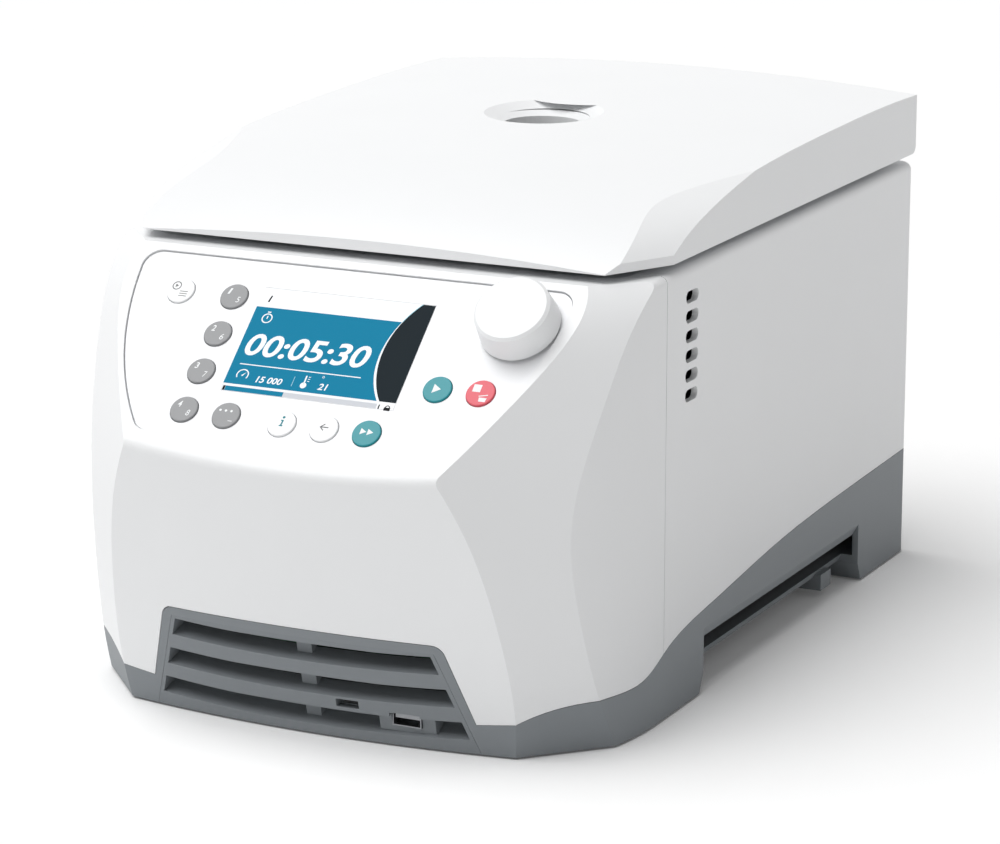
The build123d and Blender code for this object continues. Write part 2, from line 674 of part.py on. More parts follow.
def make_lid():
    """The lid: outer shell with the port, inner liner, window, ring and lock hooks."""
    solid = lid_body()
    heel = solid.edges().filter_by(lambda e: e.bounding_box().min.Y > BACK - 1 and e.bounding_box().max.Z < LID_BOTTOM + 1)
    solid = fillet(heel, LID_HEEL_RADIUS)
    shell = solid - lid_body(LID_WALL)
    port_z = LID_PROFILE[4][1]
    port_top = port_z - PORT_SINK
    tube_foot = port_top - PORT_DEPTH
    shell += rod(PORT_RIM_RADIUS + LID_WALL, port_top - LID_WALL, port_z - LID_WALL / 2, 0, ROTOR_Y) & solid
    shell += rod(PORT_RADIUS + LID_WALL, tube_foot, port_top, 0, ROTOR_Y)
    dish = Pos(0, ROTOR_Y, port_top) * Cone(PORT_RADIUS, PORT_RIM_RADIUS, PORT_SINK + 2,
                                            align=(Align.CENTER, Align.CENTER, Align.MIN))
    shell -= dish
    shell -= rod(PORT_RADIUS, tube_foot + WINDOW_RING_HEIGHT, port_z + 20, 0, ROTOR_Y)
    shell -= rod(PORT_RADIUS + LID_WALL / 2, tube_foot - 1, tube_foot + WINDOW_RING_HEIGHT, 0, ROTOR_Y)
    for hand in (1, -1):
        shell -= block(hand * HINGE_X - EAR_THICK, hand * HINGE_X + EAR_THICK,
                       BACK - LID_WALL - 1, BACK + 5, LID_BOTTOM - 1, HINGE_Z + EAR_RADIUS)
    seat_z = tube_foot + WINDOW_RING_HEIGHT
    pieces["lid_window"] = rod(PORT_RADIUS + LID_WALL / 2 - PIECE_GAP, seat_z - WINDOW_THICK, seat_z, 0, ROTOR_Y)
    pieces["lid_window_ring"] = ring(PORT_RADIUS + LID_WALL / 2 - PIECE_GAP, PORT_RADIUS - LID_WALL / 2,
                                     tube_foot, seat_z - WINDOW_THICK, 0, ROTOR_Y)
    liner = lid_body(LID_WALL + PIECE_GAP) & block(-WIDTH, WIDTH, 2 * FRONT, 2 * BACK,
                                                   LID_BOTTOM, LID_BOTTOM + LID_INNER_THICK)
    liner -= rod(PORT_RADIUS + LID_WALL, LID_BOTTOM - 1, LID_BOTTOM + 10, 0, ROTOR_Y)
    sight = ring(PORT_RADIUS + 2 * LID_WALL, PORT_RADIUS + LID_WALL, LID_BOTTOM, tube_foot - PIECE_GAP, 0, ROTOR_Y)
    liner += sight
    arms = []
    hooks = []
    for hand in (1, -1):
        x = hand * HINGE_X
        liner -= block(x - EAR_THICK / 2 - 1, x + EAR_THICK / 2 + 1, HINGE_Y - 3 * EAR_RADIUS, BACK,
                       LID_BOTTOM - 1, LID_BOTTOM + 10)
        inner_x = x - hand * (EAR_THICK / 2 + PIECE_GAP)
        far_x = inner_x - hand * ARM_THICK
        low_x, high_x = min(inner_x, far_x), max(inner_x, far_x)
        arm = cross_rod(EAR_RADIUS, low_x, high_x, HINGE_Y, HINGE_Z)
        arm += block(low_x, high_x, HINGE_Y - 3 * EAR_RADIUS, HINGE_Y, LID_BOTTOM + LID_INNER_THICK,
                     HINGE_Z + EAR_RADIUS)
        arm -= block(low_x, high_x, HINGE_Y - 3 * EAR_RADIUS, BACK, LID_BOTTOM - 5, LID_BOTTOM + LID_INNER_THICK)
        arm -= cross_rod(HINGE_PIN_RADIUS + HINGE_RUN, low_x - 1, high_x + 1, HINGE_Y, HINGE_Z)
        arms.append(arm)
        hook = block(hand * HOOK_X - HOOK_WIDTH / 2, hand * HOOK_X + HOOK_WIDTH / 2, HOOK_Y, HOOK_Y + HOOK_THICK,
                     LID_BOTTOM - HOOK_DROP, LID_BOTTOM)
        eye_z = LID_BOTTOM - HOOK_DROP + HOOK_WINDOW
        hook -= block(hand * HOOK_X - HOOK_WINDOW / 2, hand * HOOK_X + HOOK_WINDOW / 2, HOOK_Y - 1,
                      HOOK_Y + HOOK_THICK + 1, eye_z - HOOK_WINDOW / 2, eye_z + HOOK_WINDOW / 2)
        hooks.append(hook)
    pieces["lid_arms"] = Compound(children=arms)
    pieces["lid_hooks"] = Compound(children=hooks)
    pieces["lid_shell"] = shell
    pieces["lid_inner"] = liner


def make_hinge():
    """The hinge at the back: two ears on a bracket, the pin and a torsion spring on each side."""
    ears = []
    for hand in (1, -1):
        x = hand * HINGE_X
        ear = cross_rod(EAR_RADIUS, x - EAR_THICK / 2, x + EAR_THICK / 2, HINGE_Y, HINGE_Z)
        ear += block(x - EAR_THICK / 2, x + EAR_THICK / 2, HINGE_Y - EAR_RADIUS, HINGE_Y + EAR_RADIUS / 2,
                     BODY_TOP, HINGE_Z)
        ear -= cross_rod(HINGE_PIN_RADIUS, x - EAR_THICK, x + EAR_THICK, HINGE_Y, HINGE_Z)
        ears.append(ear)
    pieces["hinge_ears"] = Compound(children=ears)
    reach = HINGE_X + EAR_THICK
    pieces["hinge_pin"] = cross_rod(HINGE_PIN_RADIUS, -reach, reach, HINGE_Y, HINGE_Z)


def make_deck():
    """The deck under the lid, with the bowl, its seal, the guard ring and the lock."""
    bottom = BODY_TOP - DECK_THICK
    deck = extrude(Pos(0, 0, bottom) * deck_face(), DECK_THICK)
    lock_floor = BODY_TOP - DECK_THICK - LOCK_HEIGHT
    for hand in (1, -1):
        clear = HOOK_SLOT_CLEAR
        deck -= block(hand * HOOK_X - HOOK_WIDTH / 2 - clear, hand * HOOK_X + HOOK_WIDTH / 2 + clear,
                      HOOK_Y - clear, HOOK_Y + HOOK_THICK + clear, bottom - 1, BODY_TOP + 1)
    deck -= rod(BOWL_RADIUS + BOWL_WALL + PIECE_GAP, bottom - 1, BODY_TOP + 1, 0, ROTOR_Y)
    deck &= envelope(PIECE_GAP)
    pieces["top_deck"] = deck
    pieces["bowl_seal"] = ring(SEAL_RADIUS, SEAL_RADIUS - SEAL_WIDTH, BODY_TOP, LID_BOTTOM - PIECE_GAP, 0, ROTOR_Y)
    top = bottom
    profile = [
        (BOWL_EYE, BOWL_BOTTOM), (BOWL_RADIUS - BOWL_CORNER, BOWL_BOTTOM),
        (BOWL_RADIUS, BOWL_BOTTOM + BOWL_CORNER), (BOWL_RADIUS, top),
        (BOWL_FLANGE, top), (BOWL_FLANGE, top - BOWL_WALL),
        (BOWL_RADIUS + BOWL_WALL, top - BOWL_WALL), (BOWL_RADIUS + BOWL_WALL, BOWL_BOTTOM + BOWL_CORNER - 1),
        (BOWL_RADIUS - BOWL_CORNER + 1, BOWL_BOTTOM - BOWL_WALL), (BOWL_EYE, BOWL_BOTTOM - BOWL_WALL),
    ]
    bowl = revolve(Plane.XZ * make_face(Polyline(*profile, close=True)), Axis.Z)
    pieces["bowl"] = Pos(0, ROTOR_Y, 0) * bowl
    plate_top = PLATE_Z + PLATE_THICK
    pieces["guard_ring"] = ring(GUARD_RADIUS, GUARD_RADIUS - GUARD_WALL, plate_top, top - BOWL_WALL - PIECE_GAP,
                                0, ROTOR_Y)
    hands = {"right": 1, "left": -1}
    boxes = []
    for side, hand in hands.items():
        x = hand * HOOK_X
        wide = HOOK_WIDTH / 2 + HOOK_SLOT_CLEAR + LOCK_WALL
        back_y = HOOK_Y + HOOK_THICK + HOOK_SLOT_CLEAR + LOCK_WALL
        front_edge = HOOK_Y - HOOK_SLOT_CLEAR - LOCK_DEPTH
        box = block(x - wide, x + wide, front_edge, back_y, lock_floor, bottom)
        box -= block(x - wide + LOCK_WALL, x + wide - LOCK_WALL, HOOK_Y - HOOK_SLOT_CLEAR, back_y - LOCK_WALL,
                     lock_floor + LOCK_WALL, bottom + 1)
        eye_z = LID_BOTTOM - HOOK_DROP + HOOK_WINDOW
        box -= deep_rod(BOLT_RADIUS + SHAFT_CLEAR, front_edge - 1, back_y + 1, x, eye_z)
        boxes.append(box)
        tip = HOOK_Y - HOOK_SLOT_CLEAR / 2
        pieces["lock_bolt_" + side] = deep_rod(BOLT_RADIUS, front_edge - BOLT_TRAVEL, tip, x, eye_z)
    pieces["lock_housings"] = Compound(children=boxes)


def make_drive():
    """The frame plate on its posts, the motor hung from it on dampers, and the shaft."""
    floor = FLOOR_HEIGHT + FLOOR_THICK
    plate = Pos(0, ROTOR_Y, PLATE_Z) * extrude(RectangleRounded(2 * PLATE_HALF, 2 * PLATE_HALF, 12), PLATE_THICK)
    plate -= rod(PLATE_EYE, PLATE_Z - 1, PLATE_Z + PLATE_THICK + 1, 0, ROTOR_Y)
    pieces["frame_plate"] = plate
    posts = [
        rod(POST_RADIUS, floor, PLATE_Z, x, ROTOR_Y + y)
        for x in (POST_SPACING, -POST_SPACING)
        for y in (POST_SPACING, -POST_SPACING)
    ]
    pieces["frame_posts"] = Compound(children=posts)
    flange_top = PLATE_Z - DAMPER_HEIGHT
    motor = rod(MOTOR_RADIUS, MOTOR_BOTTOM, flange_top - MOTOR_FLANGE_THICK, 0, ROTOR_Y)
    motor += rod(MOTOR_FLANGE, flange_top - MOTOR_FLANGE_THICK, flange_top, 0, ROTOR_Y)
    motor += rod(NECK_RADIUS, flange_top, NECK_TOP, 0, ROTOR_Y)
    motor -= rod(DRIVE_RADIUS + SHAFT_CLEAR, flange_top - 30, NECK_TOP + 1, 0, ROTOR_Y)
    pieces["motor"] = motor
    dampers = [
        Rot(0, 0, 45 + 90 * n) * Pos(DAMPER_CIRCLE, 0, flange_top + DAMPER_HEIGHT / 2)
        * Cylinder(DAMPER_RADIUS, DAMPER_HEIGHT)
        for n in range(4)
    ]
    pieces["motor_dampers"] = Pos(0, ROTOR_Y, 0) * Compound(children=dampers)
    pieces["motor_shaft"] = rod(DRIVE_RADIUS, flange_top - 29, DRIVE_TOP, 0, ROTOR_Y)


def make_rotor():
    """The fixed-angle rotor with a ring of slanted tube bores, its lid and its nut."""
    profile = [
        (DRIVE_RADIUS, ROTOR_BOTTOM), (ROTOR_HUB, ROTOR_BOTTOM), (ROTOR_RADIUS - 22, ROTOR_BOTTOM + 6),
        (ROTOR_RADIUS, ROTOR_TOP - 12), (ROTOR_RADIUS, ROTOR_TOP - 2), (ROTOR_RADIUS - 2, ROTOR_TOP),
        (ROTOR_RADIUS - 6, ROTOR_TOP), (ROTOR_HUB + 8, ROTOR_TOP - 20), (ROTOR_HUB, ROTOR_TOP - 20),
        (ROTOR_HUB - 4, ROTOR_TOP - 2), (DRIVE_RADIUS, ROTOR_TOP - 2),
    ]
    rotor = revolve(Plane.XZ * make_face(Polyline(*profile, close=True)), Axis.Z)
    mouth_z = ROTOR_TOP - 6
    bore = Rot(0, TUBE_ANGLE, 0) * Pos(0, 0, -TUBE_DEPTH / 2 + 6) * Cylinder(TUBE_RADIUS, TUBE_DEPTH)
    for n in range(TUBE_COUNT):
        rotor -= Rot(0, 0, n * 360 / TUBE_COUNT) * Pos(TUBE_CIRCLE - 14, 0, mouth_z) * mirror(bore, Plane.YZ)
    pieces["rotor"] = Pos(0, ROTOR_Y, 0) * rotor
    low = ROTOR_TOP + PIECE_GAP
    lid_profile = [
        (DRIVE_RADIUS + SHAFT_CLEAR, low + ROTOR_LID_RISE), (ROTOR_HUB, low + ROTOR_LID_RISE),
        (ROTOR_LID_RADIUS, low), (ROTOR_LID_RADIUS, low + ROTOR_LID_THICK),
        (ROTOR_HUB, low + ROTOR_LID_RISE + ROTOR_LID_THICK),
        (DRIVE_RADIUS + SHAFT_CLEAR, low + ROTOR_LID_RISE + ROTOR_LID_THICK),
    ]
    lid = revolve(Plane.XZ * make_face(Polyline(*lid_profile, close=True)), Axis.Z)
    pieces["rotor_lid"] = Pos(0, ROTOR_Y, 0) * lid
    foot = low + ROTOR_LID_RISE + ROTOR_LID_THICK
    nut = rod(NUT_RADIUS, foot, foot + NUT_HEIGHT)
    nut = chamfer(nut.edges().group_by(Axis.Z)[-1], 1.5)
    for n in range(8):
        nut -= Rot(0, 0, n * 45) * rod(4, foot - 1, foot + NUT_HEIGHT + 1, NUT_RADIUS + 2.4)
    nut -= rod(DRIVE_RADIUS + SHAFT_CLEAR, foot - 1, DRIVE_TOP + PIECE_GAP)
    pieces["rotor_nut"] = Pos(0, ROTOR_Y, 0) * nut


def make_back():
    """The fan with its grille, the mains inlet, the rocker switch and the power board."""
    skin = BACK - WALL
    half = FAN_SIZE / 2
    grille = block(FAN_X - half + PIECE_GAP, FAN_X + half - PIECE_GAP, skin, BACK,
                   FAN_Z - half + PIECE_GAP, FAN_Z + half - PIECE_GAP)
    rows = 9
    pitch = (FAN_SIZE - 10) / rows
    for row in range(rows):
        z = FAN_Z - half + 5 + pitch * (row + 0.5)
        grille -= block(FAN_X - half + 6, FAN_X - 2, skin - 1, BACK + 1, z - 1.9, z + 1.9)
        grille -= block(FAN_X + 2, FAN_X + half - 6, skin - 1, BACK + 1, z - 1.9, z + 1.9)
    pieces["rear_grille"] = grille
    frame = block(FAN_X - half, FAN_X + half, skin - FAN_DEPTH, skin, FAN_Z - half, FAN_Z + half)
    throat = half - 2
    frame -= deep_rod(throat, skin - FAN_DEPTH - 1, skin + 1, FAN_X, FAN_Z)
    spider = skin - FAN_DEPTH
    frame += deep_rod(FAN_HUB, spider, spider + 2, FAN_X, FAN_Z)
    frame += block(FAN_X - half + 1, FAN_X + half - 1, spider, spider + 2, FAN_Z - 2, FAN_Z + 2)
    frame += block(FAN_X - 2, FAN_X + 2, spider, spider + 2, FAN_Z - half + 1, FAN_Z + half - 1)
    frame += deep_rod(FAN_SHAFT, spider, spider + 10, FAN_X, FAN_Z)
    pieces["fan_frame"] = frame
    hub = deep_rod(FAN_HUB, spider + 3, skin - 3, FAN_X, FAN_Z)
    blade_reach = throat - FAN_TIP_GAP
    for n in range(FAN_BLADES):
        blade = Pos((FAN_HUB + blade_reach) / 2 - 1, 0, 0) * Rot(35, 0, 0) * Box(blade_reach - FAN_HUB + 2, 20, 1.6)
        hub += Pos(FAN_X, (spider + 3 + skin - 3) / 2, FAN_Z) * Rot(0, n * 360 / FAN_BLADES, 0) * blade
    hub -= deep_rod(FAN_SHAFT + SHAFT_CLEAR, spider, spider + 10.3, FAN_X, FAN_Z)
    pieces["fan_rotor"] = hub
    gap = PIECE_GAP / 2
    inlet = block(INLET_X - INLET_WIDTH / 2 + gap, INLET_X + INLET_WIDTH / 2 - gap, BACK - INLET_DEPTH, BACK,
                  INLET_Z - INLET_HEIGHT / 2 + gap, INLET_Z + INLET_HEIGHT / 2 - gap)
    inlet -= block(INLET_X - 12, INLET_X + 12, BACK - INLET_DEPTH + 2, BACK + 1, INLET_Z - 8, INLET_Z + 8)
    for x, z in ((-7, -1.5), (7, -1.5), (0, 3)):
        inlet += block(INLET_X + x - 1, INLET_X + x + 1, BACK - INLET_DEPTH + 1, BACK - 3,
                       INLET_Z + z - 2, INLET_Z + z + 2)
    pieces["power_inlet"] = inlet
    frame = block(SWITCH_X - SWITCH_WIDTH / 2 + gap, SWITCH_X + SWITCH_WIDTH / 2 - gap, BACK - SWITCH_DEPTH, BACK,
                  INLET_Z - SWITCH_HEIGHT / 2 + gap, INLET_Z + SWITCH_HEIGHT / 2 - gap)
    frame -= block(SWITCH_X - SWITCH_WIDTH / 2 + 2, SWITCH_X + SWITCH_WIDTH / 2 - 2, BACK - SWITCH_DEPTH + 2,
                   BACK + 1, INLET_Z - SWITCH_HEIGHT / 2 + 2, INLET_Z + SWITCH_HEIGHT / 2 - 2)
    pieces["switch_frame"] = frame
    reach = SWITCH_HEIGHT / 2 - 3.4
    rocker = extrude(Plane.YZ * make_face(Polyline(
        (1, -reach), (4.5, -reach), (3, 0), (4.5, reach), (1, reach), (-2, 0), close=True)),
        SWITCH_WIDTH / 2 - 2.3, both=True)
    pivot = Pos(SWITCH_X, BACK - SWITCH_PIVOT_DEPTH, INLET_Z)
    pieces["power_switch"] = pivot * Rot(-SWITCH_TILT / 2, 0, 0) * rocker
    wide, deep, thick = SUPPLY_SIZE
    floor = FLOOR_HEIGHT + FLOOR_THICK
    supply = block(-wide / 2, wide / 2, -150, -150 + deep, floor + 6, floor + 6 + thick)
    for x in (-wide / 2 + 6, wide / 2 - 6):
        for y in (-144, -150 + deep - 6):
            supply += rod(3, floor, floor + 6, x, y)
    supply += block(-50, -20, -140, -110, floor + 6 + thick, floor + 32)
    supply += rod(9, floor + 6 + thick, floor + 38, 10, -125) + rod(9, floor + 6 + thick, floor + 38, 34, -125)
    pieces["power_board"] = supply


make_casings()
make_base()
make_grille()
make_panel()
make_lid()
make_hinge()
make_deck()
make_drive()
make_rotor()
make_back()

os.makedirs("parts", exist_ok=True)
for name, piece in pieces.items():
    export_step(piece, "parts/" + name + ".step")
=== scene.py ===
"""The dressed bench microcentrifuge: finishes, display picture, signs, studio and camera."""
import math
import bmesh
import bpy
import numpy as np
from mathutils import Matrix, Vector


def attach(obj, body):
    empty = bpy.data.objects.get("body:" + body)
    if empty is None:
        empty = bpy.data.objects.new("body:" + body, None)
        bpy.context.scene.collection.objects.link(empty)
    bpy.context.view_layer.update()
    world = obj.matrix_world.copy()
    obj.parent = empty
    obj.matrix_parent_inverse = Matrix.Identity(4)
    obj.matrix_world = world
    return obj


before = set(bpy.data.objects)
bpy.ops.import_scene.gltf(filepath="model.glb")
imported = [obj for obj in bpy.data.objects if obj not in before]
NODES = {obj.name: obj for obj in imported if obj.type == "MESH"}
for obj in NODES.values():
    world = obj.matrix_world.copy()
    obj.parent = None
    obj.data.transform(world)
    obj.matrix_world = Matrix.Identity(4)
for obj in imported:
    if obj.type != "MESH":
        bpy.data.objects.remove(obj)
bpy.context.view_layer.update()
MM = 0.001


# Casings
# The two halves of the housing are moulded in near-white plastic with a fine satin grain.
# They meet in a narrow seam on each side and are screwed together from inside.
def paint(red, green, blue):
    """A colour as painted, 0 to 255 for each part, turned to the linear light a shader takes."""
    part = np.array([red, green, blue]) / 255.0
    linear = np.where(part <= 0.04045, part / 12.92, ((part + 0.055) / 1.055) ** 2.4)
    return (*linear.tolist(), 1.0)


def new_finish(name):
    """A material with its node tree, its surface shader and an Object coordinate node."""
    finish = bpy.data.materials.new(name)
    finish.use_nodes = True
    tree = finish.node_tree
    shader = tree.nodes["Principled BSDF"]
    place = tree.nodes.new("ShaderNodeTexCoord")
    return finish, tree, shader, place.outputs["Object"]


def soft_noise(tree, place, size, detail):
    """Noise whose blotches are about size across, with detail finer octaves: from 0 to 1."""
    noise = tree.nodes.new("ShaderNodeTexNoise")
    noise.inputs["Scale"].default_value = 1.0 / size
    noise.inputs["Detail"].default_value = detail
    tree.links.new(place, noise.inputs["Vector"])
    return noise.outputs["Fac"]


def mottle(tree, place, colour, spread, size):
    """Two close shades of a colour mixed by soft noise, so that a large face isn't dead flat."""
    blend = tree.nodes.new("ShaderNodeMix")
    blend.data_type = "RGBA"
    blend.inputs["A"].default_value = tuple(part * (1 - spread) for part in colour[:3]) + (1.0,)
    blend.inputs["B"].default_value = tuple(min(part * (1 + spread), 1.0) for part in colour[:3]) + (1.0,)
    tree.links.new(soft_noise(tree, place, size, 3.0), blend.inputs["Factor"])
    return blend.outputs["Result"]


def relief(tree, shader, wave, strength, height):
    """A wave from 0 to 1 read as height, which tilts the light on the surface."""
    bump = tree.nodes.new("ShaderNodeBump")
    bump.inputs["Strength"].default_value = strength
    bump.inputs["Distance"].default_value = height
    tree.links.new(wave, bump.inputs["Height"])
    tree.links.new(bump.outputs["Normal"], shader.inputs["Normal"])


def vary_roughness(tree, shader, wave, roughness, share):
    """Roughness that follows a wave from 0 to 1, by a share of itself down and up."""
    spread = tree.nodes.new("ShaderNodeMapRange")
    spread.inputs["To Min"].default_value = roughness * (1 - share)
    spread.inputs["To Max"].default_value = roughness * (1 + share)
    tree.links.new(wave, spread.inputs["Value"])
    tree.links.new(spread.outputs["Result"], shader.inputs["Roughness"])


PLASTIC_IOR = 1.5
PLASTIC_MOTTLE = 0.05
PLASTIC_GRAIN = 0.0007
GRAIN_STRENGTH = 0.5


def moulded_plastic(name, colour, roughness, spread=0.012, grain_height=0.00001):
    """Injection-moulded plastic: a near-even colour with a fine grain."""
    finish, tree, shader, place = new_finish(name)
    tree.links.new(mottle(tree, place, colour, spread, PLASTIC_MOTTLE), shader.inputs["Base Color"])
    shader.inputs["Roughness"].default_value = roughness
    shader.inputs["IOR"].default_value = PLASTIC_IOR
    relief(tree, shader, soft_noise(tree, place, PLASTIC_GRAIN, 2.0), GRAIN_STRENGTH, grain_height)
    return finish


def dress(finish, *names):
    """Puts a finish on CAD nodes, as the only material of each."""
    for name in names:
        slots = NODES[name].data.materials
        slots.clear()
        slots.append(finish)


casing_white = moulded_plastic("casing_white", paint(243, 244, 245), 0.38)
dress(casing_white, "front_casing", "rear_casing")

# Base tray and feet
# A mid-grey moulded tray closes the housing from below and shows as a rising band round it.
# Four rubber pads are pressed into its corners.
RUBBER_MOTTLE = 0.004
RUBBER_BLOOM = 0.0006
RUBBER_RELIEF = 0.00003


def soft_rubber(name, colour):
    """Black rubber, dull and slightly blotched."""
    finish, tree, shader, place = new_finish(name)
    tree.links.new(mottle(tree, place, colour, 0.15, RUBBER_MOTTLE), shader.inputs["Base Color"])
    shader.inputs["Roughness"].default_value = 0.78
    relief(tree, shader, soft_noise(tree, place, RUBBER_BLOOM, 2.0), GRAIN_STRENGTH, RUBBER_RELIEF)
    return finish


base_grey = moulded_plastic("base_grey", paint(131, 136, 140), 0.5, spread=0.02)
rubber_black = soft_rubber("rubber_black", paint(32, 33, 35))
dress(base_grey, "base_tray")
dress(rubber_black, "feet")

# Air intake
# The louvred grille is moulded in the base's grey and sits in the front of the tray. A USB
# socket and a small service socket lie in its lower right slots.
BRUSH_RUN = (1.0, 1.0, 40.0)
BRUSH_SIZE = 0.00625
METAL_MOTTLE = 0.02


def sheet_metal(name, colour, roughness):
    """Metal with a fine directional grain: noise stretched along one axis varies its roughness."""
    finish, tree, shader, place = new_finish(name)
    run = tree.nodes.new("ShaderNodeMapping")
    run.inputs["Scale"].default_value = BRUSH_RUN
    tree.links.new(place, run.inputs["Vector"])
    brushed = soft_noise(tree, run.outputs["Vector"], BRUSH_SIZE, 4.0)
    vary_roughness(tree, shader, brushed, roughness, 0.25)
    tree.links.new(mottle(tree, place, colour, 0.04, METAL_MOTTLE), shader.inputs["Base Color"])
    shader.inputs["Metallic"].default_value = 1.0
    return finish


grille_grey = moulded_plastic("grille_grey", paint(128, 133, 137), 0.5, spread=0.02)
socket_black = moulded_plastic("socket_black", paint(26, 27, 29), 0.45, spread=0.05)
nickel = sheet_metal("nickel", paint(150, 152, 155), 0.3)
dress(grille_grey, "intake_grille")
dress(socket_black, "service_socket")
dress(nickel, "usb_socket")

# Control panel fascia
# A thin satin-white plate lies a little sunk in the front casing's tilted face, with a fine
# groove all round. It carries the display and all the controls.
fascia_white = moulded_plastic("fascia_white", paint(246, 247, 249), 0.32, grain_height=0.000004)
dress(fascia_white, "fascia")


def corners(name):
    """The vertices of a node, one row of X, Y and Z each, in metres."""
    mesh = NODES[name].data
    flat = np.zeros(len(mesh.vertices) * 3)
    mesh.vertices.foreach_get("co", flat)
    return flat.reshape(-1, 3)


def panel_frame():
    """The panel's place, way up and way out. The fascia's largest face gives the way out, at a
    right angle to it, and its highest and outermost points give the middle of its top edge."""
    largest = max(NODES["fascia"].data.polygons, key=lambda face: face.area)
    tilted = np.array([0.0, largest.normal.y, largest.normal.z])
    out = tilted * np.sign(tilted[2]) / np.linalg.norm(tilted)
    up = np.array([0.0, out[2], -out[1]])
    plate = corners("fascia")
    return (plate @ up).max() * up + (plate @ out).max() * out, up, out


PANEL_TOP, PANEL_UP, PANEL_OUT = panel_frame()


def on_panel(across, down, height):
    """Points of the panel: across to the right, down the slope and out from it, in millimetres."""
    across, down, height = np.broadcast_arrays(across, down, height)
    slope = PANEL_TOP - np.multiply.outer(down * MM, PANEL_UP) + np.multiply.outer(height * MM, PANEL_OUT)
    slope[..., 0] += across * MM
    return slope


def panel_height(name):
    """How far a node's outermost point stands off the fascia, in millimetres."""
    return float(((corners(name) - PANEL_TOP) @ PANEL_OUT).max() / MM)


def panel_middle(name):
    """A node's middle, across and down the panel: half-way between its ends, to 0.1 mm."""
    away = corners(name) - PANEL_TOP
    across = away[:, 0] / MM
    down = -(away @ PANEL_UP) / MM
    return round((across.min() + across.max()) / 2, 1), round((down.min() + down.max()) / 2, 1)


# Display
# A colour display is bonded behind a thin glass flush with the fascia. Its picture is plain:
# a clock in large numerals, two smaller readings, a bar that fills and a dark curved end.
FILM = 0.03
FILM_LIFT = 0.01
SCREEN_LEFT, SCREEN_RIGHT = -40.9, 42.9
SCREEN_TOP, FIELD_TOP, FIELD_FOOT = 13.3, 23.4, 64.2
BAR_TOP, BAR_FOOT = 65.5, 67.9
BAR_LEFT, BAR_FULL_TO, BAR_RIGHT = -39.0, -10.6, 34.6
ARC_RADIUS, ARC_MIDDLE, ARC_NEAREST = 41.4, 40.0, 27.2
EDGE_THIN, EDGE_GROWTH, EDGE_GROWS_OVER = 0.25, 0.95, 28.0
GLASS_TOP = panel_height("display_glass") + FILM_LIFT
READING = GLASS_TOP + FILM


def lit_film(name, colour, glow):
    """A patch of the display's picture: its colour and a little light of its own."""
    finish, tree, shader, place = new_finish(name)
    tree.links.new(mottle(tree, place, colour, 0.01, 0.02), shader.inputs["Base Color"])
    shader.inputs["Emission Color"].default_value = colour
    shader.inputs["Emission Strength"].default_value = glow
    shader.inputs["Roughness"].default_value = 0.3
    shader.inputs["Specular IOR Level"].default_value = 0.05
    return finish


screen_surround = moulded_plastic("screen_surround", paint(238, 240, 242), 0.2, grain_height=0.000002)
picture_blue = lit_film("picture_blue", paint(0, 121, 156), 0.12)
picture_dark = lit_film("picture_dark", paint(14, 28, 35), 0.02)
picture_white = lit_film("picture_white", paint(247, 249, 251), 0.06)
picture_pale = lit_film("picture_pale", paint(205, 208, 214), 0.05)
picture_haze = lit_film("picture_haze", paint(150, 203, 218), 0.10)
picture_black = lit_film("picture_black", paint(18, 20, 24), 0.0)
dress(screen_surround, "display_glass")
dress(socket_black, "display_module")


def span(top, thick):
    """The two distances down the panel between which a bar lies."""
    return np.array([top, top + thick])


def arc_edge(down):
    """Where the dark end begins at each distance down: a circle bulging to the left."""
    return ARC_NEAREST + ARC_RADIUS - np.sqrt(ARC_RADIUS ** 2 - (down - ARC_MIDDLE) ** 2)


def film_band(left, right, down, height):
    """A thin closed slab between two edges: for each distance down, from left to right.
    Its points are a grid of two parameters, the way across and the way down, in two layers."""
    edges = np.stack([left + 0 * down, right + 0 * down], 1)
    rows = np.stack([down, down], 1)
    lower = on_panel(edges, rows, height)
    upper = on_panel(edges, rows, height + FILM)
    points = np.concatenate([upper.reshape(-1, 3), lower.reshape(-1, 3)])
    layer = 2 * len(down)
    at = np.arange(len(down) - 1) * 2
    top = np.stack([at, at + 2, at + 3, at + 1], 1)
    bottom = top[:, ::-1] + layer
    left_rim = np.stack([at, at + layer, at + 2 + layer, at + 2], 1)
    right_rim = np.stack([at + 1, at + 3, at + 3 + layer, at + 1 + layer], 1)
    first_end = [[0, 1, 1 + layer, layer]]
    last_end = [[layer - 1, layer - 2, 2 * layer - 2, 2 * layer - 1]]
    return points, np.concatenate([top, bottom, left_rim, right_rim, first_end, last_end]).tolist()


def film_outline(outline, height):
    """A thin closed slab with a polygon outline, given as (across, down) points."""
    bend = np.array(outline, float)
    count = len(bend)
    upper = on_panel(bend[:, 0], bend[:, 1], height + FILM)
    lower = on_panel(bend[:, 0], bend[:, 1], height)
    here = np.arange(count)
    after = np.roll(here, -1)
    rim = np.stack([here, after, after + count, here + count], 1)
    faces = [here[::-1].tolist(), (here + count).tolist()] + rim.tolist()
    return np.concatenate([upper, lower]), faces


